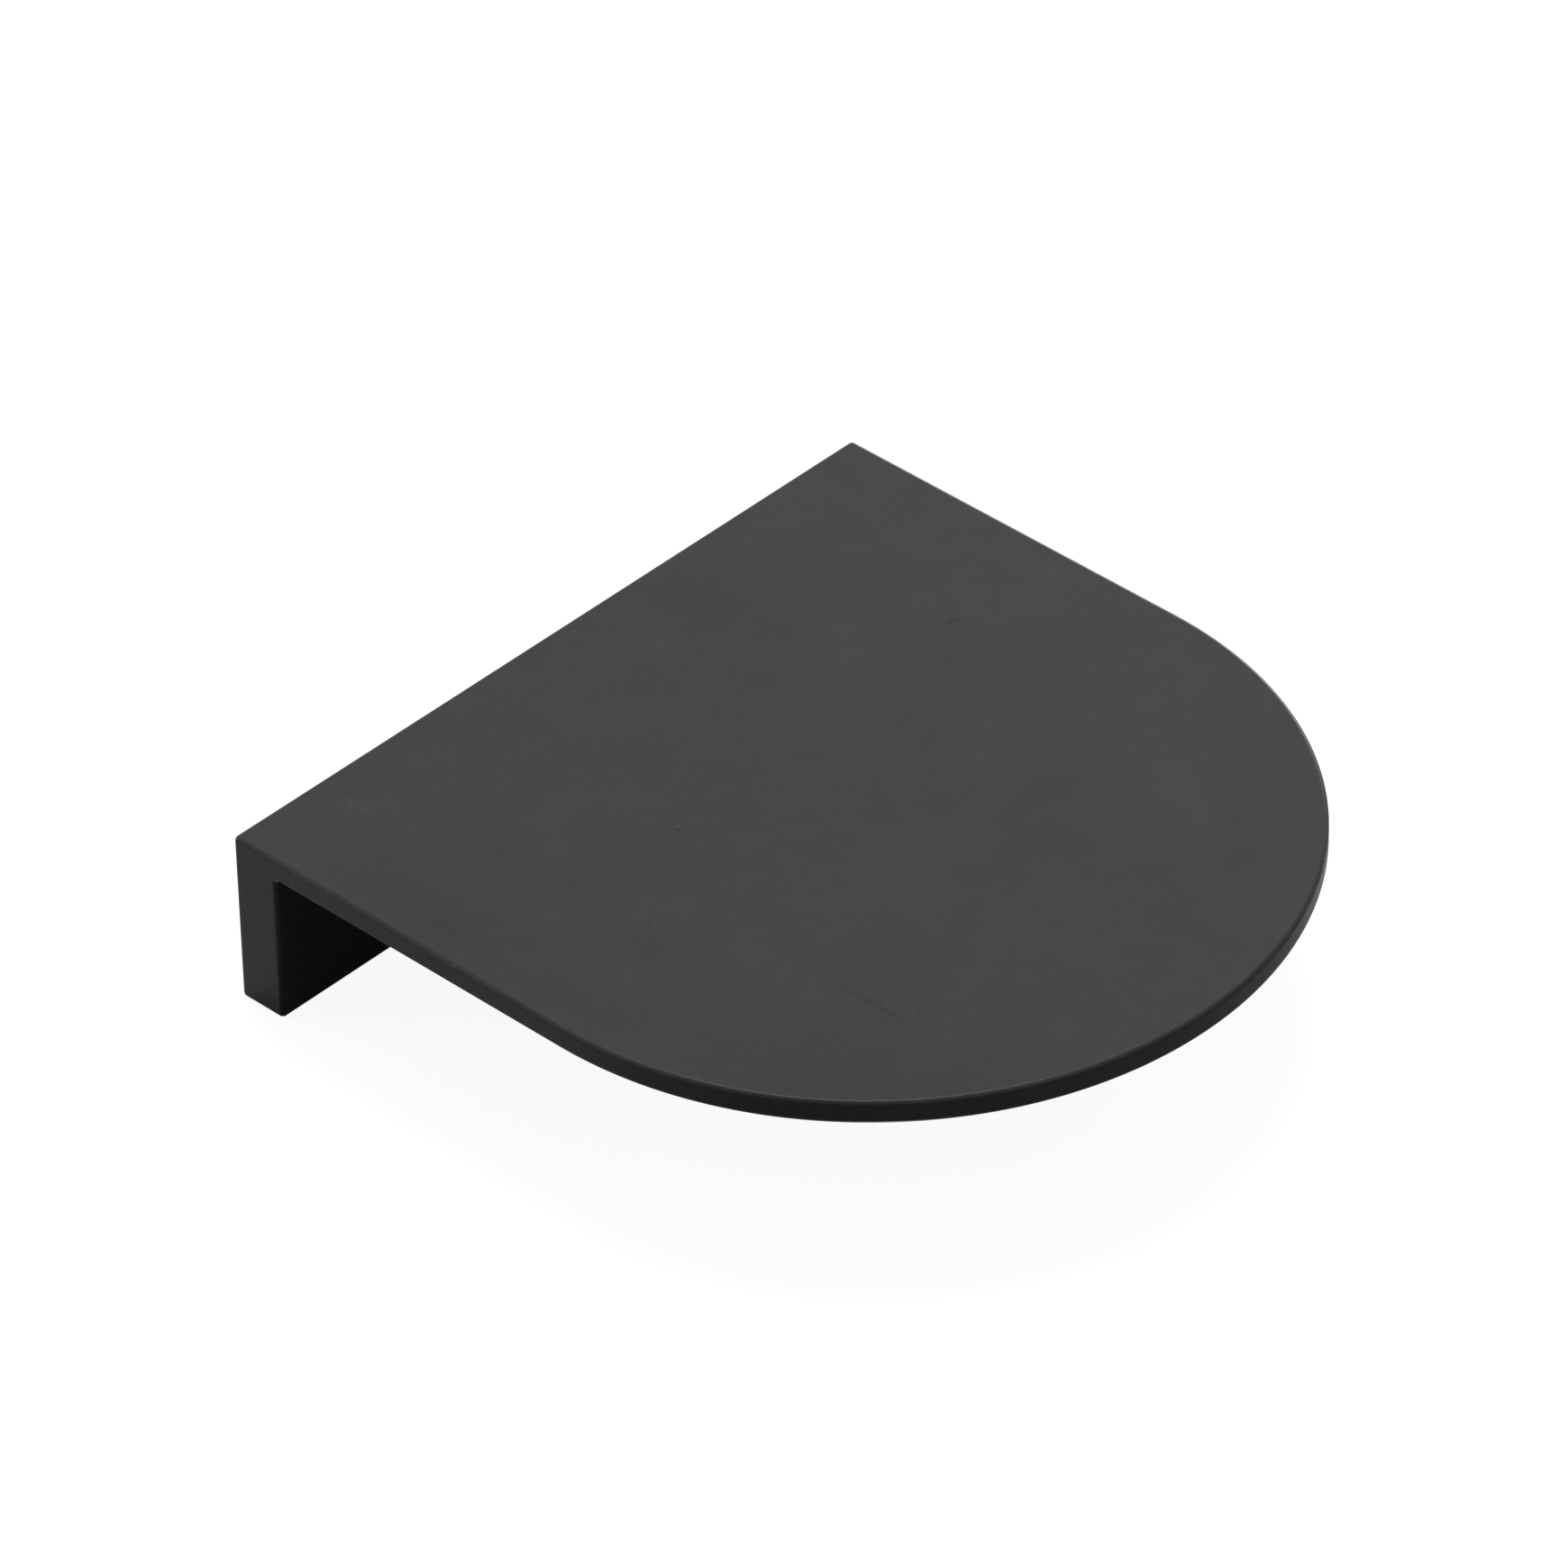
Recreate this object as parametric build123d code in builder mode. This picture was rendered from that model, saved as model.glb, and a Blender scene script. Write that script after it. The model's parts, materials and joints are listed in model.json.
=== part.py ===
from build123d import *
from math import radians, tan
import os

# Arch pull handle: a flat plate, straight along its back edge and round at its nose, carried by a
# full-width foot along that back edge. Plate and foot are one L-section, cut to the handle's width,
# with the arch milled into the plate and every outside edge eased. It is one piece of metal.
#
# Frame: the foot's face lies on Z = 0, where the door or drawer front is, and +Z points away from it.
# X runs along the straight back edge. The nose points to -Y. The origin is at the middle of the foot's
# face, midway between the two screw holes.

# Driving dimensions, in millimetres and degrees
handle_width = 100.0  # along the straight back edge
handle_depth = 100.0  # from the back edge to the nose
projection = 22.5  # from the door to the plate's outer face
plate_thickness = 3.0
foot_thickness = 6.5
outer_edge_radius = 0.6
inner_corner_radius = 0.4  # between the foot and the plate's underside

# Fixing: blind holes tapped M4 in the foot's face, for machine screws from behind the door
screw_spacing = 64.0
tap_drill_diameter = 3.3
drilled_depth = 12.0  # to the end of the full diameter
drill_point_angle = 118.0
mouth_diameter = 4.1
mouth_angle = 90.0

# Places worked out from them
back_y = foot_thickness / 2
inner_y = -foot_thickness / 2
nose_y = back_y - handle_depth
side_x = handle_width / 2
nose_radius = handle_width / 2
nose_centre_y = nose_y + nose_radius
underside_z = projection - plate_thickness
tap_drill_radius = tap_drill_diameter / 2
drill_point_length = tap_drill_radius / tan(radians(drill_point_angle / 2))

with BuildPart() as handle:
    # The L-section: the plate on top, the foot down its back
    with BuildSketch(Plane.YZ) as section:
        with BuildLine():
            Polyline(
                (back_y, 0),
                (back_y, projection),
                (nose_y, projection),
                (nose_y, underside_z),
                (inner_y, underside_z),
                (inner_y, 0),
                close=True,
            )
        make_face()
    extrude(amount=side_x, both=True)

    # The arch outline: square at the back, a half circle tangent to both sides at the nose
    with BuildSketch(Plane.XY) as outline:
        with BuildLine():
            straight = Polyline(
                (-side_x, nose_centre_y),
                (-side_x, back_y),
                (side_x, back_y),
                (side_x, nose_centre_y),
            )
            RadiusArc(straight @ 1, straight @ 0, nose_radius)
        make_face()
    extrude(amount=projection, mode=Mode.INTERSECT)

    # The inner corner first, so that the eased edges run round its ends without a break
    inner_corner = (
        handle.edges()
        .filter_by(Axis.X)
        .sort_by_distance((0, inner_y, underside_z))[0]
    )
    fillet(inner_corner, inner_corner_radius)

    # Then every outside edge, apart from the lines where a round runs on smoothly into a flat face
    lengthwise = handle.edges().filter_by(Axis.X).group_by(Axis.Z)
    nose_starts = handle.edges().filter_by(Axis.Z).group_by(Axis.Y)[0]
    smooth_joins = lengthwise[1] + lengthwise[2] + nose_starts
    fillet(handle.edges() - smooth_joins, outer_edge_radius)

    # Two holes in the foot's face, each with a small chamfer at its mouth and a drill point at its end
    with Locations(-Plane.XY):
        with GridLocations(screw_spacing, 0, 2, 1):
            CounterSinkHole(tap_drill_radius, mouth_diameter / 2, drilled_depth, mouth_angle)
            with Locations((0, 0, -drilled_depth)):
                Cone(
                    tap_drill_radius,
                    0,
                    drill_point_length,
                    rotation=(180, 0, 0),
                    align=(Align.CENTER, Align.CENTER, Align.MIN),
                    mode=Mode.SUBTRACT,
                )

handle.part.label = "handle"

os.makedirs("parts", exist_ok=True)
export_step(handle.part, "parts/handle.step")
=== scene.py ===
"""A matte black arch pull for a cabinet door, dressed and set in a plain studio.

The handle is one piece of metal: a flat plate with a straight back and a half-round nose, carried on a foot
as wide as the plate. Two blind holes in the foot's face are tapped for the screws that hold it. The skin is
one closed mesh of patches, each a formula in two parameters, so every edge round and the screw threads have
their true form. All lengths are in metres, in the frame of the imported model.
"""

from __future__ import annotations

import json
import logging
import math
from dataclasses import dataclass, field
from enum import Enum
from functools import cached_property
from typing import Any

import bpy
import numpy as np
from mathutils import Matrix, Vector

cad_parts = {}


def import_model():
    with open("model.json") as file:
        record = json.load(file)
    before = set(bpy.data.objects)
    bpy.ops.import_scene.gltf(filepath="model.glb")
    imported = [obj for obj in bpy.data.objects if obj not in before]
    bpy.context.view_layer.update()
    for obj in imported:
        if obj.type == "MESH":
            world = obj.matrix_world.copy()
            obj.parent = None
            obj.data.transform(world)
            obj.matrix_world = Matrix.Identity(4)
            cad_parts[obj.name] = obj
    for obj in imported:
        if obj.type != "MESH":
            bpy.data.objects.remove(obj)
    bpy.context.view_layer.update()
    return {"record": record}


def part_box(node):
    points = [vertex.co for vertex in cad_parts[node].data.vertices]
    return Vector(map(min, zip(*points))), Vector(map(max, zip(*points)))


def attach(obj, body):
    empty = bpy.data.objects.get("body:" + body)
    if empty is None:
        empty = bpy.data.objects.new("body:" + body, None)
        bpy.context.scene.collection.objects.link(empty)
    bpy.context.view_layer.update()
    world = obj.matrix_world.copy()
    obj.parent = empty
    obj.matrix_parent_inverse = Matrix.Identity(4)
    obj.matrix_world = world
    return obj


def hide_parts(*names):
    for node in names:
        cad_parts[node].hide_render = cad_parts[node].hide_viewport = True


MM = 0.001
X = np.array([1.0, 0.0, 0.0])
Y = np.array([0.0, 1.0, 0.0])
Z = np.array([0.0, 0.0, 1.0])
WELD_DISTANCE = 1e-7
NODE = "handle"
BODY = "root"
SCREW_MOUNT = "screw_holes"

log = logging.getLogger("arch_pull")


class Zone(Enum):
    """Which finish a patch of the skin wears. The value is its material slot on the mesh."""

    COATED = 0
    CUT_METAL = 1


def unit(vectors: np.ndarray) -> np.ndarray:
    """Vectors scaled to length one.

    Args:
        vectors: An array whose last axis holds x, y and z.

    Returns:
        The same array at length one, with zero vectors left as they are.
    """
    length = np.linalg.norm(vectors, axis=-1, keepdims=True)
    return vectors / np.where(length > 0, length, 1.0)


def linked(name: str, data: bpy.types.ID) -> bpy.types.Object:
    """A new object in the scene.

    Args:
        name: The object's name.
        data: Its mesh, lamp or camera.

    Returns:
        The object.
    """
    item = bpy.data.objects.new(name, data)
    bpy.context.scene.collection.objects.link(item)
    return item


def joined(*runs: np.ndarray) -> np.ndarray:
    """Runs of stations end to end.

    Args:
        runs: Arrays of stations, each starting where the one before it ends.

    Returns:
        One array, with each shared station once.
    """
    return np.concatenate([runs[0], *(run[1:] for run in runs[1:])])


@dataclass(frozen=True)
class Patch:
    """A stretch of the skin: a grid of points and the outward normal at each corner of each of its quads."""

    points: np.ndarray
    corner_normals: np.ndarray
    zone: Zone = Zone.COATED

    @classmethod
    def smooth(cls, points: np.ndarray, normals: np.ndarray, zone: Zone = Zone.COATED) -> Patch:
        """A curved patch with one normal at each point.

        Args:
            points: Rows by columns by 3.
            normals: The outward normals, in a shape that spreads over the points.
            zone: The finish it wears.

        Returns:
            The patch.
        """
        spread = np.broadcast_to(normals, points.shape)
        corners = np.stack([spread[:-1, :-1], spread[1:, :-1], spread[1:, 1:], spread[:-1, 1:]], axis=2)
        return cls(points, corners, zone)

    @classmethod
    def banded(cls, points: np.ndarray, zone: Zone) -> Patch:
        """A patch of bands that meet at sharp lines and are round along them, as a screw thread is.

        The normal of each quad is the cross product of its diagonals. Along a band, neighbouring quads share
        the mean of their two normals, and across bands nothing is shared.

        Args:
            points: Rows by columns by 3, where the first and the last column close a ring.
            zone: The finish it wears.

        Returns:
            The patch.
        """
        down = points[1:, 1:] - points[:-1, :-1]
        across = points[:-1, 1:] - points[1:, :-1]
        quad = unit(np.cross(down, across))
        before = np.concatenate([quad[:, -1:], quad[:, :-1]], axis=1)
        column = unit(quad + before)
        after = np.concatenate([column[:, 1:], column[:, :1]], axis=1)
        return cls(points, np.stack([column, column, after, after], axis=2), zone)

    def mirrored(self) -> Patch:
        """The same patch on the other side of the middle plane X = 0."""
        flip = np.array([-1.0, 1.0, 1.0])
        return Patch(self.points * flip, self.corner_normals * flip, self.zone)

    def quads(self) -> tuple[np.ndarray, np.ndarray]:
        """The patch as quads, wound so that they face outwards.

        Returns:
            The corner points and the corner normals, each quads by 4 by 3.
        """
        p = self.points
        corners = np.stack([p[:-1, :-1], p[1:, :-1], p[1:, 1:], p[:-1, 1:]], axis=2).reshape(-1, 4, 3)
        normals = self.corner_normals.reshape(-1, 4, 3)
        facing = np.cross(corners[:, 2] - corners[:, 0], corners[:, 3] - corners[:, 1])
        if (facing * normals.mean(axis=1)).sum() < 0:
            corners, normals = corners[:, ::-1], normals[:, ::-1]
        return corners, normals


@dataclass
class Skin:
    """A closed surface gathered from patches that share their edge points."""

    patches: list[Patch] = field(default_factory=list)

    def add(self, *patches: Patch) -> None:
        """Adds patches that span the middle plane, or stand alone."""
        self.patches.extend(patches)

    def add_pair(self, *patches: Patch) -> None:
        """Adds patches of the right side, and their mirror images on the left."""
        self.patches.extend(patches)
        self.patches.extend(patch.mirrored() for patch in patches)

    def mesh(self, name: str) -> bpy.types.Mesh:
        """Welds the patches into one mesh.

        Points that round to the same steps of the weld distance become one vertex. A quad with one repeated
        vertex, as at a pole, becomes a triangle, and one with two is dropped. Each corner keeps its patch's
        own normal, so the shading is smooth where patches run on from each other and sharp where they don't.

        Args:
            name: The mesh's name.

        Returns:
            The mesh, with a material index for each face's zone.
        """
        made = [patch.quads() for patch in self.patches]
        corners = np.concatenate([quads for quads, _ in made])
        normals = np.concatenate([quads for _, quads in made])
        zones = np.concatenate([np.full(len(q), p.zone.value) for p, (q, _) in zip(self.patches, made)])
        flat = corners.reshape(-1, 3)
        keys = np.round(flat / WELD_DISTANCE).astype(np.int64)
        _, first, number = np.unique(keys, axis=0, return_index=True, return_inverse=True)
        ids = number.reshape(-1, 4)
        repeated = ids == np.roll(ids, -1, axis=1)
        whole = repeated.sum(axis=1) == 0
        pinched = repeated.sum(axis=1) == 1
        kept = ~repeated[pinched]
        triangles = ids[pinched][kept].reshape(-1, 3)
        mesh = bpy.data.meshes.new(name)
        mesh.from_pydata(flat[first].tolist(), [], ids[whole].tolist() + triangles.tolist(), shade_flat=False)
        mesh.polygons.foreach_set("material_index", np.concatenate([zones[whole], zones[pinched]]))
        loop_normals = np.concatenate([normals[whole].reshape(-1, 3), normals[pinched][kept]])
        mesh.normals_split_custom_set(unit(loop_normals).tolist())
        mesh.update()
        return mesh


@dataclass(frozen=True)
class TappedHole:
    """One blind hole in the foot's face: chamfered mouth, screw thread, plain bore and drill point.

    The thread is an M4 one. Its flank angle is against the hole's radius, and its root is flat for a share
    of the pitch. The point angle is the drill's. Both angles are in degrees. Each count of steps is how many
    rows or columns of quads a stretch has.
    """

    centre_x: float
    centre_y: float
    drill_radius: float
    major_radius: float = 2.0 * MM
    mouth_radius: float = 2.05 * MM
    pitch: float = 0.7 * MM
    flank_angle: float = 30.0
    root_share: float = 1 / 8
    thread_depth: float = 10.0 * MM
    run_out: float = 1.2 * MM
    drilled_depth: float = 12.0 * MM
    point_angle: float = 118.0
    steps_round: int = 48
    face_steps: int = 3
    crest_steps: int = 2
    flank_steps: int = 4
    root_steps: int = 1
    bore_steps: int = 3
    point_steps: int = 4

    @cached_property
    def angles(self) -> np.ndarray:
        """Where the columns stand round the hole, in radians, from a corner of the square round it."""
        return np.linspace(-math.pi / 4, 2 * math.pi - math.pi / 4, self.steps_round + 1)

    @cached_property
    def outward(self) -> np.ndarray:
        """The unit vector from the hole's axis at each column."""
        return np.cos(self.angles)[:, None] * X + np.sin(self.angles)[:, None] * Y

    def ring(self, radius: np.ndarray | float, depth: np.ndarray | float) -> np.ndarray:
        """Points round the hole: the axis, plus the radius along each column, plus the depth along Z.

        Args:
            radius: Rows by columns, or a shape that spreads over them.
            depth: The depth from the foot's face, of like shape.

        Returns:
            Rows by columns by 3.
        """
        rows = np.asarray(radius)[..., None] * self.outward + np.asarray(depth)[..., None] * Z
        return rows + self.centre_x * X + self.centre_y * Y

    def face_ring(self, half_side: float) -> Patch:
        """The foot's face between the mouth and a square round it.

        A point is the straight mix of a point of the mouth's circle and one of the square. The square's
        sides are divided evenly, a quarter of the columns to each.

        Args:
            half_side: Half the square's side.

        Returns:
            The patch, facing -Z.
        """
        quarter = np.linspace(-half_side, half_side, self.steps_round // 4 + 1)[:-1]
        full = np.full_like(quarter, half_side)
        square_x = np.concatenate([full, -quarter, -full, quarter, full[:1]])
        square_y = np.concatenate([quarter, full, -quarter, -full, quarter[:1]])
        square = (self.centre_x + square_x)[:, None] * X + (self.centre_y + square_y)[:, None] * Y
        mix = np.linspace(0, 1, self.face_steps + 1)[:, None, None]
        return Patch.smooth((1 - mix) * self.ring(self.mouth_radius, 0.0) + mix * square, -Z)

    def thread(self) -> Patch:
        """The chamfered mouth and the thread.

        Each row of the grid follows the helix: its depth is a start plus the pitch times the share of a turn,
        held between the face and the thread's end. Across one pitch the radius runs along the crest, up a
        flank, along the root and down the other flank. The groove fades out over the last turns, and at the
        mouth the chamfer's cone is wider than the thread and takes its place.

        Returns:
            The patch, in cut metal.
        """
        flank = (self.major_radius - self.drill_radius) * math.tan(math.radians(self.flank_angle))
        root = self.pitch * self.root_share
        crest = self.pitch - 2 * flank - root
        bends = np.cumsum([0.0, crest, flank, root, flank])
        steps = (self.crest_steps, self.flank_steps, self.root_steps, self.flank_steps)
        runs = [np.linspace(low, high, count + 1) for low, high, count in zip(bends, bends[1:], steps)]
        stations = joined(*runs)[:-1]
        groove = np.interp(stations, bends, [0.0, 0.0, 1.0, 1.0, 0.0])
        turns = math.ceil(self.thread_depth / self.pitch) + 1
        starts = (np.arange(-1, turns)[:, None] * self.pitch + stations).ravel()
        grooves = np.tile(groove, turns + 1)[:, None]
        share = np.linspace(0, 1, self.steps_round + 1)
        depth = np.clip(starts[:, None] + self.pitch * share, 0.0, self.thread_depth)
        fade = np.clip((self.thread_depth - depth) / self.run_out, 0.0, 1.0)
        threaded = self.drill_radius + (self.major_radius - self.drill_radius) * grooves * fade
        radius = np.maximum(threaded, self.mouth_radius - depth)
        return Patch.banded(self.ring(radius, depth), Zone.CUT_METAL)

    def bore_end(self) -> list[Patch]:
        """The plain bore past the thread, and the cone that the drill's point leaves.

        The cone's depth grows by what its radius loses over the tangent of half the point angle.

        Returns:
            The bore and the cone, in cut metal.
        """
        depths = np.linspace(self.thread_depth, self.drilled_depth, self.bore_steps + 1)[:, None]
        half_angle = math.radians(self.point_angle / 2)
        radii = np.linspace(self.drill_radius, 0.0, self.point_steps + 1)[:, None]
        cone_depths = self.drilled_depth + (self.drill_radius - radii) / math.tan(half_angle)
        cone_normals = -math.cos(half_angle) * self.outward - math.sin(half_angle) * Z
        bore = self.ring(np.full_like(depths, self.drill_radius), depths)
        return [
            Patch.smooth(bore, -self.outward, Zone.CUT_METAL),
            Patch.smooth(self.ring(radii, cone_depths), cone_normals, Zone.CUT_METAL),
        ]


@dataclass(frozen=True)
class HandleForm:
    """The handle's sizes, and the stations along it that neighbouring patches share.

    The counts of steps are numbers of quads, in this order: round an edge, across the foot, round half the
    nose, from the middle to a hole's square, from there to the side, along a side, and down the foot.
    """

    half_width: float
    back_y: float
    nose_y: float
    top_z: float
    hole_x: float
    plate_thickness: float = 3.0 * MM
    foot_thickness: float = 6.5 * MM
    edge_radius: float = 0.6 * MM
    corner_radius: float = 0.4 * MM
    round_steps: int = 8
    foot_steps: int = 12
    nose_steps: int = 72
    middle_steps: int = 12
    outer_steps: int = 6
    side_steps: int = 20
    down_steps: int = 9

    @classmethod
    def from_frame(cls, mount: dict[str, Any]) -> HandleForm:
        """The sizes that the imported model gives: its box, and the spacing of its screw holes.

        Args:
            mount: The record's entry for the screw holes.

        Returns:
            The form.
        """
        low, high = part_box(NODE)
        return cls(high.x, high.y, low.y, high.z, mount["dims"]["spacing_x_mm"] * MM / 2)

    @property
    def inner_y(self) -> float:
        """The foot's inner face."""
        return self.back_y - self.foot_thickness

    @property
    def underside_z(self) -> float:
        """The plate's underside."""
        return self.top_z - self.plate_thickness

    @property
    def nose_centre_y(self) -> float:
        """The middle of the half circle at the nose."""
        return self.nose_y + self.half_width

    @property
    def bend_y(self) -> float:
        """Where the plate's underside runs into the inner corner's round, and the middle of that round."""
        return self.inner_y - self.corner_radius

    @property
    def bend_z(self) -> float:
        """Where the foot's inner face runs into the inner corner's round, and the middle of that round."""
        return self.underside_z - self.corner_radius

    @property
    def flat_x(self) -> float:
        """How far from the middle the flat faces reach before the edge round starts."""
        return self.half_width - self.edge_radius

    @property
    def flat_foot(self) -> tuple[float, float]:
        """Where the flat of the foot's seating face starts and ends along Y."""
        return self.inner_y + self.edge_radius, self.back_y - self.edge_radius

    @property
    def half_square(self) -> float:
        """Half the side of the square round each hole, which is as wide as the flat of the seating face."""
        return (self.flat_foot[1] - self.flat_foot[0]) / 2

    @property
    def square_x(self) -> tuple[float, float]:
        """Where the right hole's square starts and ends along X."""
        return self.hole_x - self.half_square, self.hole_x + self.half_square

    @cached_property
    def across(self) -> np.ndarray:
        """Stations from side to side, even but for the squares round the two holes."""
        inner, outer = self.square_x
        right = joined(
            np.linspace(0.0, inner, self.middle_steps + 1),
            np.linspace(inner, outer, self.foot_steps + 1),
            np.linspace(outer, self.flat_x, self.outer_steps + 1),
        )
        return joined(-right[::-1], right)

    @cached_property
    def behind(self) -> np.ndarray:
        """Stations along Y over the foot, from the back's edge round to the bend."""
        return np.linspace(self.back_y - self.edge_radius, self.bend_y, self.foot_steps // 2 + 1)

    @cached_property
    def ahead(self) -> np.ndarray:
        """Stations along Y over the plate's straight sides, from the bend to the nose."""
        return np.linspace(self.bend_y, self.nose_centre_y, self.side_steps + 1)

    @cached_property
    def above(self) -> np.ndarray:
        """Stations down the back, from the top's edge round to the bend."""
        return np.linspace(self.top_z - self.edge_radius, self.bend_z, self.foot_steps // 2 + 1)

    @cached_property
    def below(self) -> np.ndarray:
        """Stations down the foot, from the bend to the seating face's edge round."""
        return np.linspace(self.bend_z, self.edge_radius, self.down_steps + 1)

    @cached_property
    def turn(self) -> np.ndarray:
        """Unit vectors round the right half of the nose, from straight out to the side to straight ahead."""
        angle = np.linspace(0.0, math.pi / 2, self.nose_steps + 1)[:, None]
        return np.cos(angle) * X - np.sin(angle) * Y

    @cached_property
    def bend(self) -> np.ndarray:
        """Unit vectors from the middle of the inner corner's round into the metal, from up to back."""
        angle = np.linspace(0.0, math.pi / 2, self.foot_steps + 1)[:, None]
        return np.cos(angle) * Z + np.sin(angle) * Y


@dataclass
class HandleBody:
    """The coated handle as one closed skin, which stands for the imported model's one node."""

    form: HandleForm
    holes: list[TappedHole]
    name: str = "handle_body"

    def line(self, x: Any, y: Any, z: Any) -> np.ndarray:
        """Points from coordinates that are numbers, or arrays whose shapes spread over each other."""
        return np.stack(np.broadcast_arrays(np.asarray(x, float), y, z), axis=-1)

    def rolled(self, centres: np.ndarray, first: np.ndarray, second: np.ndarray) -> Patch:
        """A quarter-round edge: a ball's surface swept along its middle's path, between two face normals.

        A normal is cos(t) times the first plus sin(t) times the second, for t over a quarter turn, and a
        point is the middle plus the radius along the normal.

        Args:
            centres: The path of the middle, stations by 3.
            first: The normal of the face that the round starts from, one or one for each station.
            second: The normal of the face that it ends at.

        Returns:
            The patch.
        """
        t = np.linspace(0.0, math.pi / 2, self.form.round_steps + 1)[None, :, None]
        normals = np.cos(t) * np.atleast_2d(first)[:, None] + np.sin(t) * np.atleast_2d(second)[:, None]
        return Patch.smooth(centres[:, None] + self.form.edge_radius * normals, normals)

    def ball_corner(self, centre: np.ndarray, sides: tuple[np.ndarray, np.ndarray, np.ndarray]) -> Patch:
        """An eighth of a ball where three edge rounds meet, with its pole at the third direction.

        Args:
            centre: The ball's middle.
            sides: The normals of the three faces that meet.

        Returns:
            The patch.
        """
        first, second, third = sides
        t = np.linspace(0.0, math.pi / 2, self.form.round_steps + 1)
        around = np.cos(t)[:, None] * first + np.sin(t)[:, None] * second
        normals = np.cos(t)[None, :, None] * around[:, None] + np.sin(t)[None, :, None] * third
        return Patch.smooth(centre + self.form.edge_radius * normals, normals)

    def plate_face(self, stations: np.ndarray, z: float, normal: np.ndarray) -> list[Patch]:
        """A flat face of the plate: rows from side to side, which narrow to the tip along the nose.

        Args:
            stations: Y of the rows over the straight part, ending at the nose's middle.
            z: The face's height.
            normal: Which way it faces.

        Returns:
            The straight part and the half-round part.
        """
        f = self.form
        share = f.across / f.flat_x
        nose = f.turn * f.flat_x
        straight = self.line(f.across[None, :], stations[:, None], z)
        rounded = self.line(nose[:, :1] * share, f.nose_centre_y + nose[:, 1:2], z)
        return [Patch.smooth(straight, normal), Patch.smooth(rounded, normal)]

    def spanning_faces(self) -> list[Patch]:
        """The faces from side to side. The bend's points are its middle plus its radius along its vectors.

        Returns:
            The plate's two faces, each in two parts, the back, the foot's inner face and the bend.
        """
        f = self.form
        back = self.line(f.across[None, :], f.back_y, joined(f.above, f.below)[:, None])
        inner = self.line(f.across[None, :], f.inner_y, f.below[:, None])
        bend_centre = self.line(f.across, f.bend_y, f.bend_z)
        bend = bend_centre[None] + f.corner_radius * f.bend[:, None]
        return [
            *self.plate_face(joined(f.behind, f.ahead), f.top_z, Z),
            *self.plate_face(f.ahead, f.underside_z, -Z),
            Patch.smooth(back, Y),
            Patch.smooth(inner, -Y),
            Patch.smooth(bend, -f.bend[:, None]),
        ]

    def spanning_rounds(self) -> list[Patch]:
        """The edge rounds that run from side to side.

        Returns:
            Those at the top of the back, at its bottom, and at the bottom of the foot's inner face.
        """
        f = self.form
        r = f.edge_radius
        low_y, high_y = f.flat_foot
        return [
            self.rolled(self.line(f.across, high_y, f.top_z - r), Z, Y),
            self.rolled(self.line(f.across, high_y, r), Y, -Z),
            self.rolled(self.line(f.across, low_y, r), -Y, -Z),
        ]

    def side_faces(self) -> list[Patch]:
        """The flat faces of the right side.

        The corner's rows run from an arc round the inner corner to the square corner behind it, so that its
        ends match the plate's edge and the foot's end.

        Returns:
            The plate's edge, the L's corner and the foot's end.
        """
        f = self.form
        r = f.edge_radius
        low_y, high_y = f.flat_foot
        share = np.linspace(0.0, 1.0, f.foot_steps + 1)
        edge_z = f.underside_z + r + share * (f.plate_thickness - 2 * r)
        plate = self.line(f.half_width, f.ahead[None, :], edge_z[:, None])
        foot_y = low_y + share * (high_y - low_y)
        foot = self.line(f.half_width, foot_y[:, None], f.below[None, :])
        arc = self.line(f.half_width, f.bend_y, f.bend_z) + (f.corner_radius + r) * f.bend
        top_run = self.line(f.half_width, f.behind[::-1], f.top_z - r)
        square = np.concatenate([top_run, self.line(f.half_width, high_y, f.above)[1:]])
        corner = (1 - share)[:, None, None] * arc + share[:, None, None] * square
        return [Patch.smooth(plate, X), Patch.smooth(corner, X), Patch.smooth(foot, X)]

    def side_rounds(self) -> list[Patch]:
        """The edge rounds of the right side.

        Returns:
            Those along the plate, through the inner corner and round the foot's end, and three ball corners.
        """
        f = self.form
        r = f.edge_radius
        low_y, high_y = f.flat_foot
        along = joined(f.behind, f.ahead)
        down = joined(f.above, f.below)
        bottom_y = np.linspace(low_y, high_y, f.foot_steps + 1)
        bend_centre = self.line(f.flat_x, f.bend_y, f.bend_z) + (f.corner_radius + r) * f.bend
        return [
            self.rolled(self.line(f.flat_x, along, f.top_z - r), Z, X),
            self.rolled(self.line(f.flat_x, f.ahead, f.underside_z + r), X, -Z),
            self.rolled(bend_centre, X, -f.bend),
            self.rolled(self.line(f.flat_x, low_y, f.below), X, -Y),
            self.rolled(self.line(f.flat_x, high_y, down), X, Y),
            self.rolled(self.line(f.flat_x, bottom_y, r), X, -Z),
            self.ball_corner(self.line(f.flat_x, high_y, f.top_z - r), (X, Y, Z)),
            self.ball_corner(self.line(f.flat_x, high_y, r), (X, Y, -Z)),
            self.ball_corner(self.line(f.flat_x, low_y, r), (X, -Y, -Z)),
        ]

    def nose(self) -> list[Patch]:
        """The right half of the nose.

        Its wall is the half circle's middle plus the half width along the turn's vectors, at each height.

        Returns:
            The wall, and the rounds above and below it.
        """
        f = self.form
        r = f.edge_radius
        middle = f.nose_centre_y * Y
        wall_z = np.linspace(f.underside_z + r, f.top_z - r, f.foot_steps + 1)
        wall = middle + f.half_width * f.turn[None] + wall_z[:, None, None] * Z
        ball = middle + f.flat_x * f.turn
        return [
            Patch.smooth(wall, f.turn[None]),
            self.rolled(ball + (f.top_z - r) * Z, Z, f.turn),
            self.rolled(ball + (f.underside_z + r) * Z, f.turn, -Z),
        ]

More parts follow.
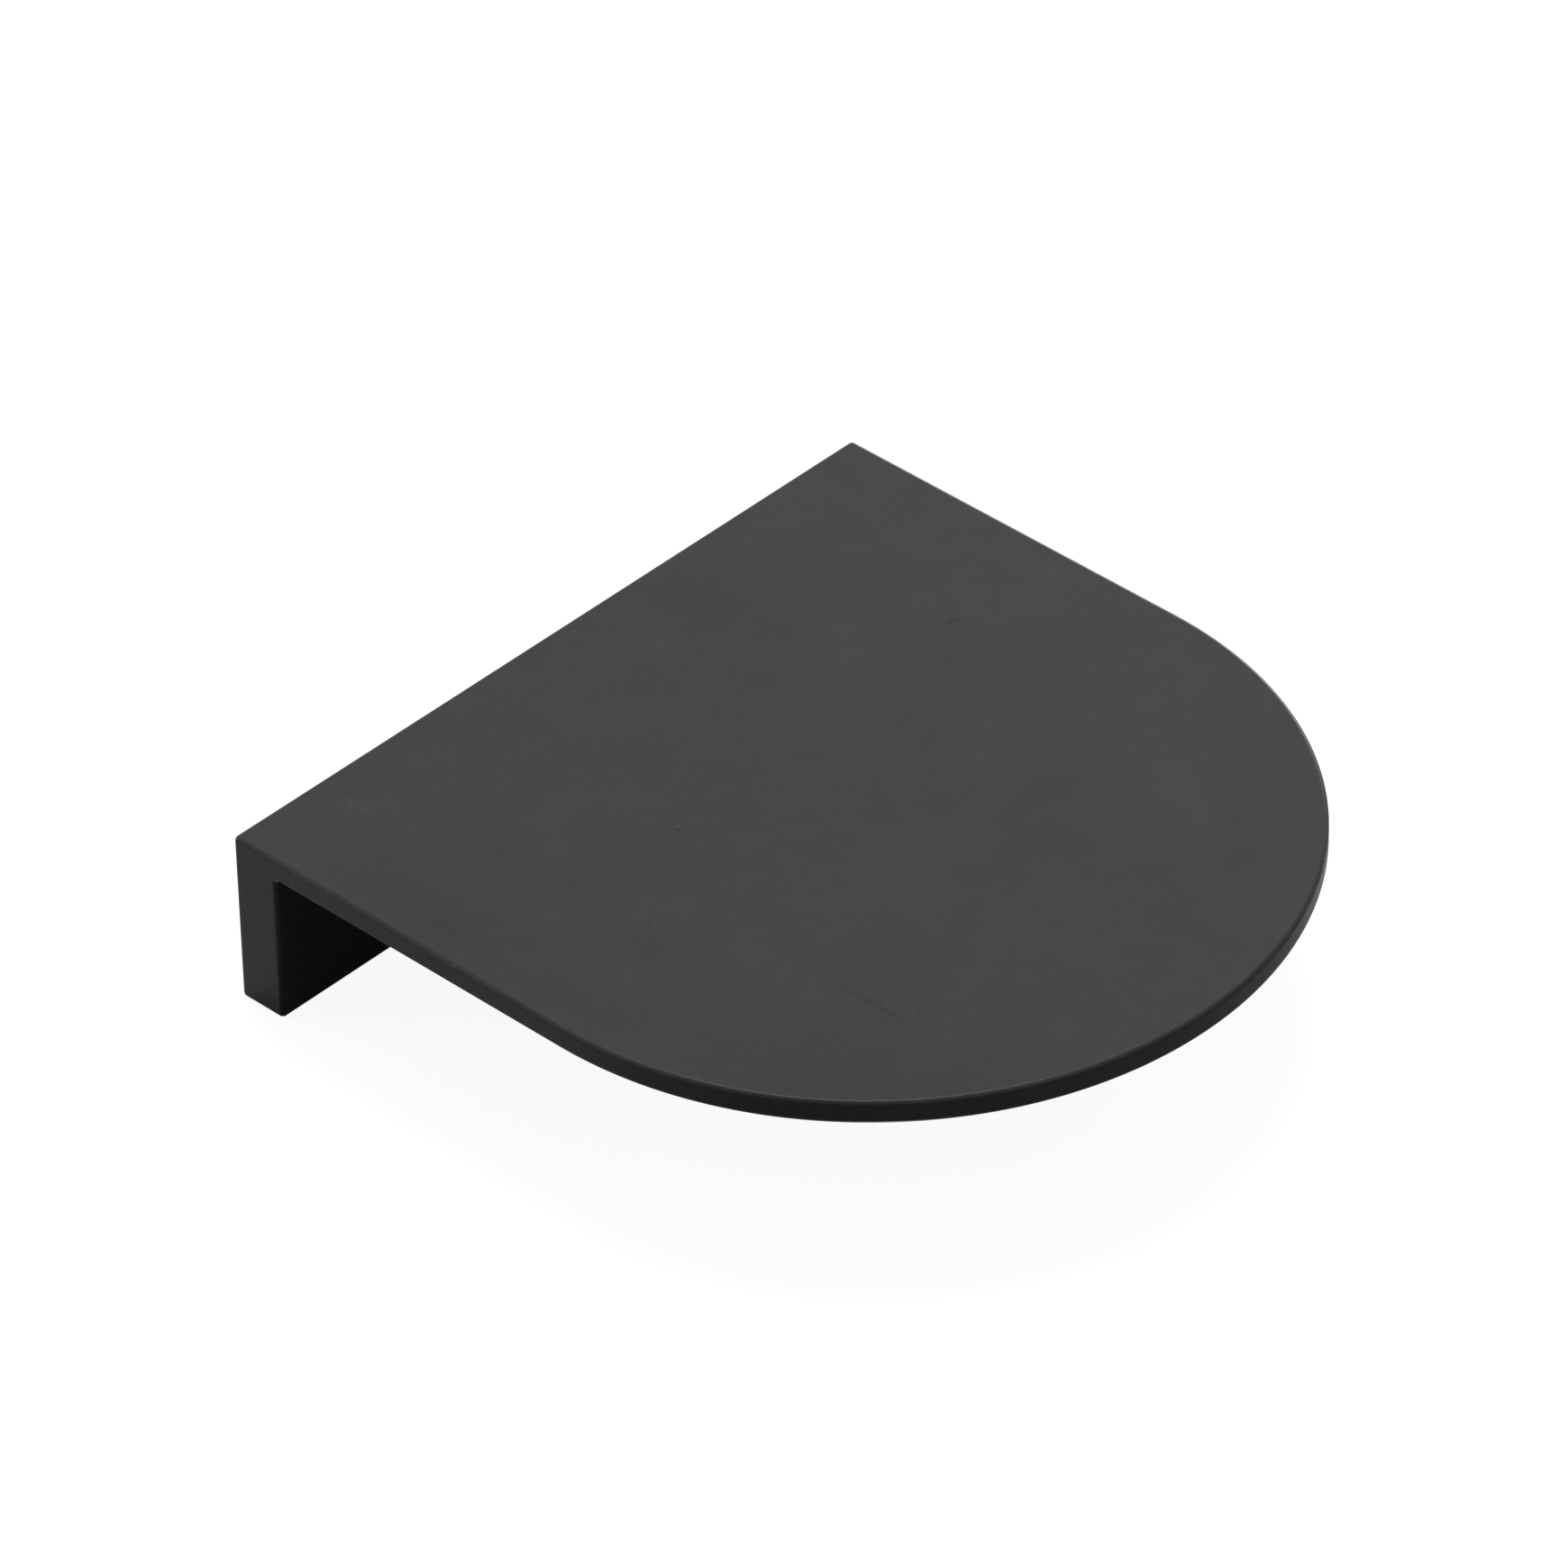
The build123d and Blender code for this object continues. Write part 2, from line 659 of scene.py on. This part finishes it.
    def seating_face(self) -> list[Patch]:
        """The foot's face against the door.

        Returns:
            Three plain blocks, and a square with a hole in it for each screw.
        """
        f = self.form
        inner, outer = f.square_x
        rows = np.linspace(*f.flat_foot, f.foot_steps + 1)
        cuts = np.searchsorted(f.across, np.array([-outer, -inner, inner, outer]) - WELD_DISTANCE)
        blocks = [f.across[: cuts[0] + 1], f.across[cuts[1] : cuts[2] + 1], f.across[cuts[3] :]]
        plain = [Patch.smooth(self.line(xs[None, :], rows[:, None], 0.0), -Z) for xs in blocks]
        return plain + [hole.face_ring(f.half_square) for hole in self.holes]

    def build(self) -> bpy.types.Object:
        """Gathers every patch, welds them and links the finished object.

        Returns:
            The object, at the origin, riding on the body and standing for the CAD node.
        """
        skin = Skin()
        skin.add(*self.spanning_faces(), *self.spanning_rounds(), *self.seating_face())
        skin.add_pair(*self.side_faces(), *self.side_rounds(), *self.nose())
        for hole in self.holes:
            skin.add(hole.thread(), *hole.bore_end())
        piece = linked(self.name, skin.mesh(self.name))
        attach(piece, BODY)
        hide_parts(NODE)
        return piece


class NodeGraph:
    """A material or world node tree, with short calls to add and link nodes.

    Nearly all of a noise's values lie in its usual range.
    """

    USUAL_NOISE: tuple[float, float] = (0.3, 0.7)

    def __init__(self, tree: bpy.types.NodeTree) -> None:
        """Empties the tree."""
        self.tree = tree
        tree.nodes.clear()

    def feed(self, socket: bpy.types.NodeSocket, value: Any) -> None:
        """Links an output socket to an input, or sets the input to a value.

        Args:
            socket: The input.
            value: The output socket or the value.
        """
        if isinstance(value, bpy.types.NodeSocket):
            self.tree.links.new(value, socket)
        else:
            socket.default_value = value

    def add(self, kind: str, settings: dict[str, Any] | None = None, **sockets: Any) -> bpy.types.Node:
        """Adds a node.

        Args:
            kind: The node's type name.
            settings: Values for the node's own properties.
            sockets: Values or output sockets for its inputs, by name with spaces as underscores.

        Returns:
            The node.
        """
        node = self.tree.nodes.new(kind)
        for key, value in (settings or {}).items():
            setattr(node, key, value)
        for key, value in sockets.items():
            self.feed(node.inputs[key.replace("_", " ")], value)
        return node

    def math(self, operation: str, *values: Any, kind: str = "ShaderNodeMath") -> bpy.types.NodeSocket:
        """What a math node makes of values or sockets.

        Args:
            operation: What it does with them.
            values: Numbers, vectors or output sockets, in the node's order.
            kind: The node's type name, which differs for vectors.

        Returns:
            The result.
        """
        node = self.add(kind, {"operation": operation})
        for socket, value in zip(node.inputs, values):
            self.feed(socket, value)
        return node.outputs[0]

    def join(self, kind: str, first: Any, second: Any, share: Any = None) -> bpy.types.NodeSocket:
        """Two shaders added, or mixed by a share of the second.

        Args:
            kind: The node's type name.
            first: The first shader.
            second: The second shader.
            share: The share, for a mix.

        Returns:
            The shader.
        """
        node = self.add(kind) if share is None else self.add(kind, Fac=share)
        self.tree.links.new(first, node.inputs[-2])
        self.tree.links.new(second, node.inputs[-1])
        return node.outputs[0]

    def remap(
        self, value: Any, low: float, high: float, to_low: float, to_high: float, kind: str = "LINEAR"
    ) -> bpy.types.NodeSocket:
        """A value moved evenly from one range to another, and held inside it.

        Args:
            value: The socket with the value.
            low: The value that gives the first result.
            high: The value that gives the second.
            to_low: The first result.
            to_high: The second result.
            kind: How it runs between them.

        Returns:
            The result.
        """
        ranges = {"From_Min": low, "From_Max": high, "To_Min": to_low, "To_Max": to_high}
        node = self.add("ShaderNodeMapRange", {"interpolation_type": kind}, Value=value, **ranges)
        return node.outputs["Result"]

    def swing(self, noise: Any, low: float, high: float) -> bpy.types.NodeSocket:
        """A noise moved from its usual range to another."""
        return self.remap(noise, *self.USUAL_NOISE, low, high)

    def noise(
        self, coordinates: Any, feature: float, detail: float, keep: float = 0.5
    ) -> bpy.types.NodeSocket:
        """Soft noise.

        Args:
            coordinates: The socket with the place.
            feature: The size of a feature, in metres.
            detail: How many finer layers it has.
            keep: How strong each finer layer is against the one before it.

        Returns:
            Its value, about 0.5 on average.
        """
        sizes = {"Scale": 1.0 / feature, "Detail": detail, "Roughness": keep}
        return self.add("ShaderNodeTexNoise", Vector=coordinates, **sizes).outputs["Fac"]


def blank_material(name: str) -> tuple[bpy.types.Material, NodeGraph]:
    """A new material with an empty node tree.

    Args:
        name: The material's name.

    Returns:
        The material and its node tree.
    """
    made = bpy.data.materials.new(name)
    made.use_nodes = True
    return made, NodeGraph(made.node_tree)


def grey(value: float) -> tuple[float, float, float, float]:
    """A neutral colour."""
    return (value, value, value, 1.0)


@dataclass(frozen=True)
class Mark:
    """A soft oval mark on the plate's outer face.

    Its middle, length and width are in millimetres in the handle's frame, and its angle is in degrees from
    +X. The lift is the share by which the coat is paler at its middle, and is negative where it is darker.
    The reach is how deep below the face it fades out, also in millimetres.
    """

    x: float
    y: float
    length: float
    width: float
    angle: float
    lift: float
    reach: float = 1.5

    def tone(self, graph: NodeGraph, place: Any, face_z: float) -> bpy.types.NodeSocket:
        """What the mark multiplies the coat's tone by: one plus the lift at its middle, and one outside it.

        Args:
            graph: The material.
            place: The socket with the place.
            face_z: The height of the face that it is on.

        Returns:
            The factor.
        """
        node = graph.add(
            "ShaderNodeMapping",
            {"vector_type": "TEXTURE"},
            Vector=place,
            Location=(self.x * MM, self.y * MM, face_z),
            Rotation=(0.0, 0.0, math.radians(self.angle)),
            Scale=(self.length * MM / 2, self.width * MM / 2, self.reach * MM),
        )
        away = graph.add("ShaderNodeVectorMath", {"operation": "LENGTH"}, Vector=node.outputs[0])
        return graph.remap(away.outputs["Value"], 0.0, 1.0, 1 + self.lift, 1.0, "SMOOTHSTEP")


@dataclass(frozen=True)
class PowderCoat:
    """Fine matte black powder coat: dark grey with a fine mottle, a few pale specks, smudge marks, scuffs and
    painted light.

    A size is that of one feature, layers are how many finer repeats it has, layer keep is how strong each of
    them is against the one before it, and a share is how far the tone swings. The core is the share of a
    speck that has its full gain. The waver is how far the rims of the smudge marks and the painted shade are
    pushed about. Two of the broad marks are painted shade, darker over the plate's left and front where the
    light falls off. The painted highlight is pale places on the edge round of the plate's left side, where
    the round catches the light.
    """

    name: str = "matte_black_powder_coat"
    shade: float = 0.060
    roughness: float = 0.30
    roughness_spread: float = 0.03
    specular: float = 0.10
    cloud_size: float = 12.0 * MM
    cloud_layers: float = 2.0
    cloud_share: float = 0.06
    mottle_size: float = 1.0 * MM
    mottle_layers: float = 3.0
    mottle_share: float = 0.15
    layer_keep: float = 1.0
    peel_size: float = 1.1 * MM
    peel_height: float = 0.010 * MM
    grain_size: float = 0.35 * MM
    grain_height: float = 0.004 * MM
    relief_layers: float = 1.0
    speck_spacing: float = 3.3 * MM
    speck_radius: float = 0.14 * MM
    speck_core: float = 0.5
    speck_gain: float = 2.0
    waver_size: float = 2.5 * MM
    waver_layers: float = 2.0
    waver: float = 1.2 * MM
    smudges_and_painted_shade: tuple[Mark, ...] = (
        Mark(17.0, -6.0, 23.8, 14.6, -64.0, -0.113),
        Mark(5.5, -8.5, 12.2, 8.1, -79.0, 0.075),
        Mark(16.0, -58.0, 26.7, 8.2, -7.0, -0.102),
        Mark(10.0, -66.0, 14.9, 11.4, -69.0, -0.102),
        Mark(26.5, -68.5, 29.7, 6.8, -117.0, 0.085),
        Mark(21.0, -81.5, 12.2, 5.4, -12.0, -0.085),
        Mark(-34.0, -44.5, 21.6, 12.2, -56.0, -0.07),
        Mark(-45.0, -23.5, 17.6, 8.1, -89.0, -0.045),
        Mark(-33.0, -59.5, 14.9, 6.8, -72.0, 0.075),
        Mark(-36.0, -3.5, 13.5, 5.4, -61.0, 0.085),
        Mark(46.0, -30.0, 16.2, 6.8, -71.0, 0.085),
        Mark(-7.0, -56.5, 27.0, 16.2, -74.0, 0.068),
        # Painted shade: two broad darker patches over the plate's left and front, where the light falls off.
        Mark(-47.0, -28.0, 74.0, 24.0, -90.0, -0.08),
        Mark(-34.0, -77.0, 64.0, 30.0, -50.0, -0.11),
    )
    scuffs: tuple[Mark, ...] = (
        Mark(-24.3, -69.5, 16.0, 1.4, -88.0, -0.2),
        Mark(-25.6, -71.5, 5.0, 1.1, -100.0, -0.18),
        Mark(-22.0, -73.7, 4.0, 0.9, -144.0, -0.12),
        Mark(-19.9, -84.2, 6.0, 1.1, -18.0, -0.09),
        Mark(32.1, -29.1, 3.4, 1.0, -21.0, -0.38),
        Mark(29.8, -28.3, 3.0, 0.8, -16.0, -0.14),
        Mark(-16.4, -32.4, 0.9, 0.7, 0.0, -0.34),
        Mark(-16.0, -32.0, 0.6, 0.5, 0.0, 0.45),
        Mark(40.6, -9.5, 1.1, 0.8, 0.0, 0.30),
    )
    # Painted highlight: pale places along the left edge round of the plate, where the round catches the
    # light.
    painted_edge_highlight: tuple[Mark, ...] = (
        Mark(-49.85, -29.5, 20.0, 0.6, 90.0, 0.20),
        Mark(-49.45, -2.6, 0.7, 0.4, 90.0, 0.30),
        Mark(-49.85, -22.8, 1.0, 0.4, 90.0, 0.45),
        Mark(-49.85, -30.7, 0.6, 0.4, 90.0, 0.60),
        Mark(-49.85, -33.8, 0.9, 0.4, 90.0, 0.25),
        Mark(-49.85, -37.2, 1.6, 0.4, 90.0, 0.35),
        Mark(-49.35, -45.2, 1.6, 0.4, 90.0, 0.15),
    )

    def wavering(self, graph: NodeGraph, place: Any) -> bpy.types.NodeSocket:
        """The place pushed about along the plate by soft noise, to give smudge marks and painted shade uneven
        rims.

        Args:
            graph: The material.
            place: The socket with the place.

        Returns:
            The pushed place.
        """
        sizes = {"Scale": 1.0 / self.waver_size, "Detail": self.waver_layers}
        noise = graph.add("ShaderNodeTexNoise", Vector=place, **sizes).outputs["Color"]
        kind = "ShaderNodeVectorMath"
        average = (0.5, 0.5, 0.5)
        push = (2 * self.waver, 2 * self.waver, 0.0)
        centred = graph.math("SUBTRACT", noise, average, kind=kind)
        return graph.math("MULTIPLY_ADD", centred, push, place, kind=kind)

    def material(self, face_z: float) -> bpy.types.Material:
        """Builds the material.

        Args:
            face_z: The height of the plate's outer face.

        Returns:
            The material.
        """
        made, graph = blank_material(self.name)
        place = graph.add("ShaderNodeTexCoord").outputs["Object"]
        cloud = graph.noise(place, self.cloud_size, self.cloud_layers, self.layer_keep)
        mottle = graph.noise(place, self.mottle_size, self.mottle_layers, self.layer_keep)
        grain = graph.noise(place, self.grain_size, self.relief_layers)
        peel = graph.noise(place, self.peel_size, self.relief_layers)
        tone = graph.math(
            "MULTIPLY",
            graph.swing(cloud, 1 - self.cloud_share, 1 + self.cloud_share),
            graph.swing(mottle, 1 + self.mottle_share, 1 - self.mottle_share),
        )
        cells = graph.add("ShaderNodeTexVoronoi", Vector=place, Scale=1.0 / self.speck_spacing)
        reach = self.speck_radius / self.speck_spacing
        speck = graph.remap(cells.outputs["Distance"], self.speck_core * reach, reach, self.speck_gain, 1.0)
        tone = graph.math("MULTIPLY", tone, speck)
        wavering = self.wavering(graph, place)
        # Smudge marks, two of which are painted shade.
        for mark in self.smudges_and_painted_shade:
            tone = graph.math("MULTIPLY", tone, mark.tone(graph, wavering, face_z))
        # Scuffs, and the painted highlight on the left edge round.
        for mark in self.scuffs + self.painted_edge_highlight:
            tone = graph.math("MULTIPLY", tone, mark.tone(graph, place, face_z))
        colour = graph.add("ShaderNodeCombineColor")
        value = graph.math("MULTIPLY", tone, self.shade)
        for socket in colour.inputs:
            graph.tree.links.new(value, socket)
        coarse = graph.add("ShaderNodeBump", Height=peel, Distance=self.peel_height, Strength=1.0)
        bump = graph.add(
            "ShaderNodeBump", Height=grain, Distance=self.grain_height, Strength=1.0, Normal=coarse.outputs[0]
        )
        spread = self.roughness_spread
        shader = graph.add(
            "ShaderNodeBsdfPrincipled",
            Base_Color=colour.outputs[0],
            Roughness=graph.swing(mottle, self.roughness - spread, self.roughness + spread),
            Specular_IOR_Level=self.specular,
            Normal=bump.outputs[0],
        )
        graph.add("ShaderNodeOutputMaterial", Surface=shader.outputs[0])
        return made


@dataclass(frozen=True)
class CutThread:
    """Bare aluminium where the tap cut through the coat, with the fine lines that it leaves."""

    name: str = "cut_aluminium"
    shade: float = 0.62
    roughness: float = 0.34
    roughness_spread: float = 0.08
    line_size: float = 0.05 * MM
    line_layers: float = 1.0

    def material(self) -> bpy.types.Material:
        """Builds the material.

        Returns:
            The material.
        """
        made, graph = blank_material(self.name)
        place = graph.add("ShaderNodeTexCoord").outputs["Object"]
        lines = graph.noise(place, self.line_size, self.line_layers)
        spread = self.roughness_spread
        shader = graph.add(
            "ShaderNodeBsdfPrincipled",
            Base_Color=grey(self.shade),
            Metallic=1.0,
            Roughness=graph.swing(lines, self.roughness - spread, self.roughness + spread),
        )
        graph.add("ShaderNodeOutputMaterial", Surface=shader.outputs[0])
        return made


def direction(azimuth: float, elevation: float) -> Vector:
    """The unit vector from the handle towards a place round it.

    Args:
        azimuth: In degrees. 0 is in front of the nose, at -Y, and 90 is at +X.
        elevation: In degrees above the horizon.

    Returns:
        The vector.
    """
    around = math.radians(azimuth)
    above = math.radians(elevation)
    level = math.cos(above)
    return Vector((math.sin(around) * level, -math.cos(around) * level, math.sin(above)))


@dataclass(frozen=True)
class SoftBox:
    """A square lamp aimed at the handle, placed by its direction, in degrees, and its distance.

    Its distance and side are in metres and its power is in watts.
    """

    name: str
    azimuth: float
    elevation: float
    distance: float
    side: float
    power: float

    def build(self, target: Vector) -> None:
        """Makes the lamp.

        Args:
            target: The point that it faces.
        """
        lamp = bpy.data.lights.new(self.name, "AREA")
        lamp.shape = "SQUARE"
        lamp.size = self.side
        lamp.energy = self.power
        towards = direction(self.azimuth, self.elevation)
        item = linked(self.name, lamp)
        item.location = target + towards * self.distance
        item.rotation_euler = towards.to_track_quat("Z", "Y").to_euler()


@dataclass(frozen=True)
class Studio:
    """A plain pale floor, soft lamps, a weak light from below and a white surround.

    The floor shade is the grey that throws light back on the handle. Where the floor shows, or is mirrored in
    a gloss, it has another shade and a glow in its place, which make it white there. The surround's values
    are strengths, and the light below has a power in watts a square metre and a spread in degrees.
    """

    target: Vector
    lamps: tuple[SoftBox, ...] = (
        SoftBox("high_softbox", 135.0, 68.0, 2.0, 0.9, 22.8),
        SoftBox("right_softbox", 120.0, 10.0, 2.0, 0.9, 14.7),
        SoftBox("back_left_softbox", -150.0, 10.0, 0.7, 0.32, 1.85),
        SoftBox("front_softbox", 0.0, 50.0, 2.0, 0.9, 3.5),
    )
    floor_half_side: float = 3.0
    floor_shade: float = 0.12
    mirrored_shade: float = 0.8
    mirrored_glow: float = 0.07
    shown_shade: float = 0.25
    shown_glow: float = 0.93
    surround: float = 0.03
    mirrored_surround: float = 0.7
    below_power: float = 0.6
    below_spread: float = 6.0

    def direct(self, graph: NodeGraph) -> bpy.types.NodeSocket:
        """One for the rays that show the background as it is: from the camera, or through glass."""
        path = graph.add("ShaderNodeLightPath").outputs
        return graph.math("MAXIMUM", path["Is Camera Ray"], path["Is Transmission Ray"])

    def mirrored(self, graph: NodeGraph) -> bpy.types.NodeSocket:
        """One for the rays that show the background in the gloss of a surface."""
        return graph.add("ShaderNodeLightPath").outputs["Is Glossy Ray"]

    def white(self, graph: NodeGraph, shade: float, glow: float) -> bpy.types.NodeSocket:
        """A white floor that keeps a shadow: part of its white is lit by the lamps, and the rest is its own.

        Args:
            graph: The material.
            shade: The part that the lamps light.
            glow: The part that is its own.

        Returns:
            The shader.
        """
        lit = graph.add("ShaderNodeBsdfDiffuse", Color=grey(shade))
        own = graph.add("ShaderNodeEmission", Color=grey(1.0), Strength=glow)
        return graph.join("ShaderNodeAddShader", lit.outputs[0], own.outputs[0])

    def floor(self) -> None:
        """Makes the floor that the foot stands on, a square. It shows white, and is clear from below."""
        signs = np.array([(-1, -1, 0), (1, -1, 0), (1, 1, 0), (-1, 1, 0)])
        mesh = bpy.data.meshes.new("studio_floor")
        mesh.from_pydata((self.floor_half_side * signs).tolist(), [], [(0, 1, 2, 3)])
        made, graph = blank_material("pale_floor")
        plain = graph.add("ShaderNodeBsdfDiffuse", Color=grey(self.floor_shade)).outputs[0]
        mirrored = self.white(graph, self.mirrored_shade, self.mirrored_glow)
        shown = self.white(graph, self.shown_shade, self.shown_glow)
        clear = graph.add("ShaderNodeBsdfTransparent").outputs[0]
        top = graph.join("ShaderNodeMixShader", plain, mirrored, self.mirrored(graph))
        top = graph.join("ShaderNodeMixShader", top, shown, self.direct(graph))
        behind = graph.add("ShaderNodeNewGeometry").outputs["Backfacing"]
        shadow = graph.add("ShaderNodeLightPath").outputs["Is Shadow Ray"]
        both = graph.join("ShaderNodeMixShader", top, clear, graph.math("MAXIMUM", behind, shadow))
        graph.add("ShaderNodeOutputMaterial", Surface=both)
        mesh.materials.append(made)
        linked("studio_floor", mesh)

    def light_below(self) -> None:
        """A weak soft light from straight below, which shows the underside in a view from below."""
        lamp = bpy.data.lights.new("light_below", "SUN")
        lamp.energy = self.below_power
        lamp.angle = math.radians(self.below_spread)
        linked("light_below", lamp).rotation_euler = (math.pi, 0.0, 0.0)

    def world(self) -> None:
        """The surround: white where it shows, a little less in a gloss, and dim as a source of light."""
        world = bpy.data.worlds.new("white_surround")
        world.use_nodes = True
        bpy.context.scene.world = world
        graph = NodeGraph(world.node_tree)
        mirrored = graph.remap(self.mirrored(graph), 0.0, 1.0, self.surround, self.mirrored_surround)
        strength = graph.math("MAXIMUM", mirrored, self.direct(graph))
        background = graph.add("ShaderNodeBackground", Color=grey(1.0), Strength=strength)
        graph.add("ShaderNodeOutputWorld", Surface=background.outputs[0])

    def build(self) -> None:
        """Makes the floor, the lamps and the surround."""
        self.floor()
        self.light_below()
        for lamp in self.lamps:
            lamp.build(self.target)
        self.world()


@dataclass(frozen=True)
class PhotoCamera:
    """The camera, at the photograph's viewing angle, from a long way off with a long lens.

    Its angles are in degrees, and its lens and sensor are in millimetres.
    """

    azimuth: float = -46.03
    elevation: float = 37.68
    roll: float = -1.21
    distance: float = 1230.6 * MM
    target: tuple[float, float, float] = (-4.32 * MM, -37.14 * MM, 24.39 * MM)
    lens: float = 256.2
    sensor: float = 36.0

    def build(self) -> bpy.types.Object:
        """Makes the camera and gives it to the scene.

        Returns:
            The camera.
        """
        data = bpy.data.cameras.new("photo_camera")
        data.lens = self.lens
        data.sensor_width = self.sensor
        towards = direction(self.azimuth, self.elevation)
        item = linked("photo_camera", data)
        place = Matrix.Translation(Vector(self.target) + towards * self.distance)
        turn = towards.to_track_quat("Z", "Y").to_matrix().to_4x4()
        item.matrix_world = place @ turn @ Matrix.Rotation(math.radians(self.roll), 4, "Z")
        bpy.context.scene.camera = item
        return item


def corners(box: tuple[Vector, Vector]) -> list[list[float]]:
    """A box's two corners as plain lists of numbers."""
    return [list(box[0]), list(box[1])]


def main() -> None:
    """Builds the handle, its finish and the studio."""
    logging.basicConfig(level=logging.INFO, format="%(message)s")
    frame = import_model()
    mount = next(m for m in frame["record"]["mounts"] if m["name"] == SCREW_MOUNT)
    form = HandleForm.from_frame(mount)
    drill_radius = mount["dims"]["hole_r_mm"] * MM
    foot_middle = form.back_y - form.foot_thickness / 2
    holes = [TappedHole(x, foot_middle, drill_radius) for x in (-form.hole_x, form.hole_x)]
    piece = HandleBody(form, holes).build()
    piece.data.materials.append(PowderCoat().material(form.top_z))
    piece.data.materials.append(CutThread().material())
    log.info("%s: %d vertices, %d faces", piece.name, len(piece.data.vertices), len(piece.data.polygons))
    low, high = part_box(NODE)
    Studio((low + high) / 2).build()
    camera = PhotoCamera().build()
    log.info("%s: lens %.1f mm", camera.name, camera.data.lens)
    bpy.context.scene.view_settings.view_transform = "Standard"


if __name__ == "__main__":
    main()
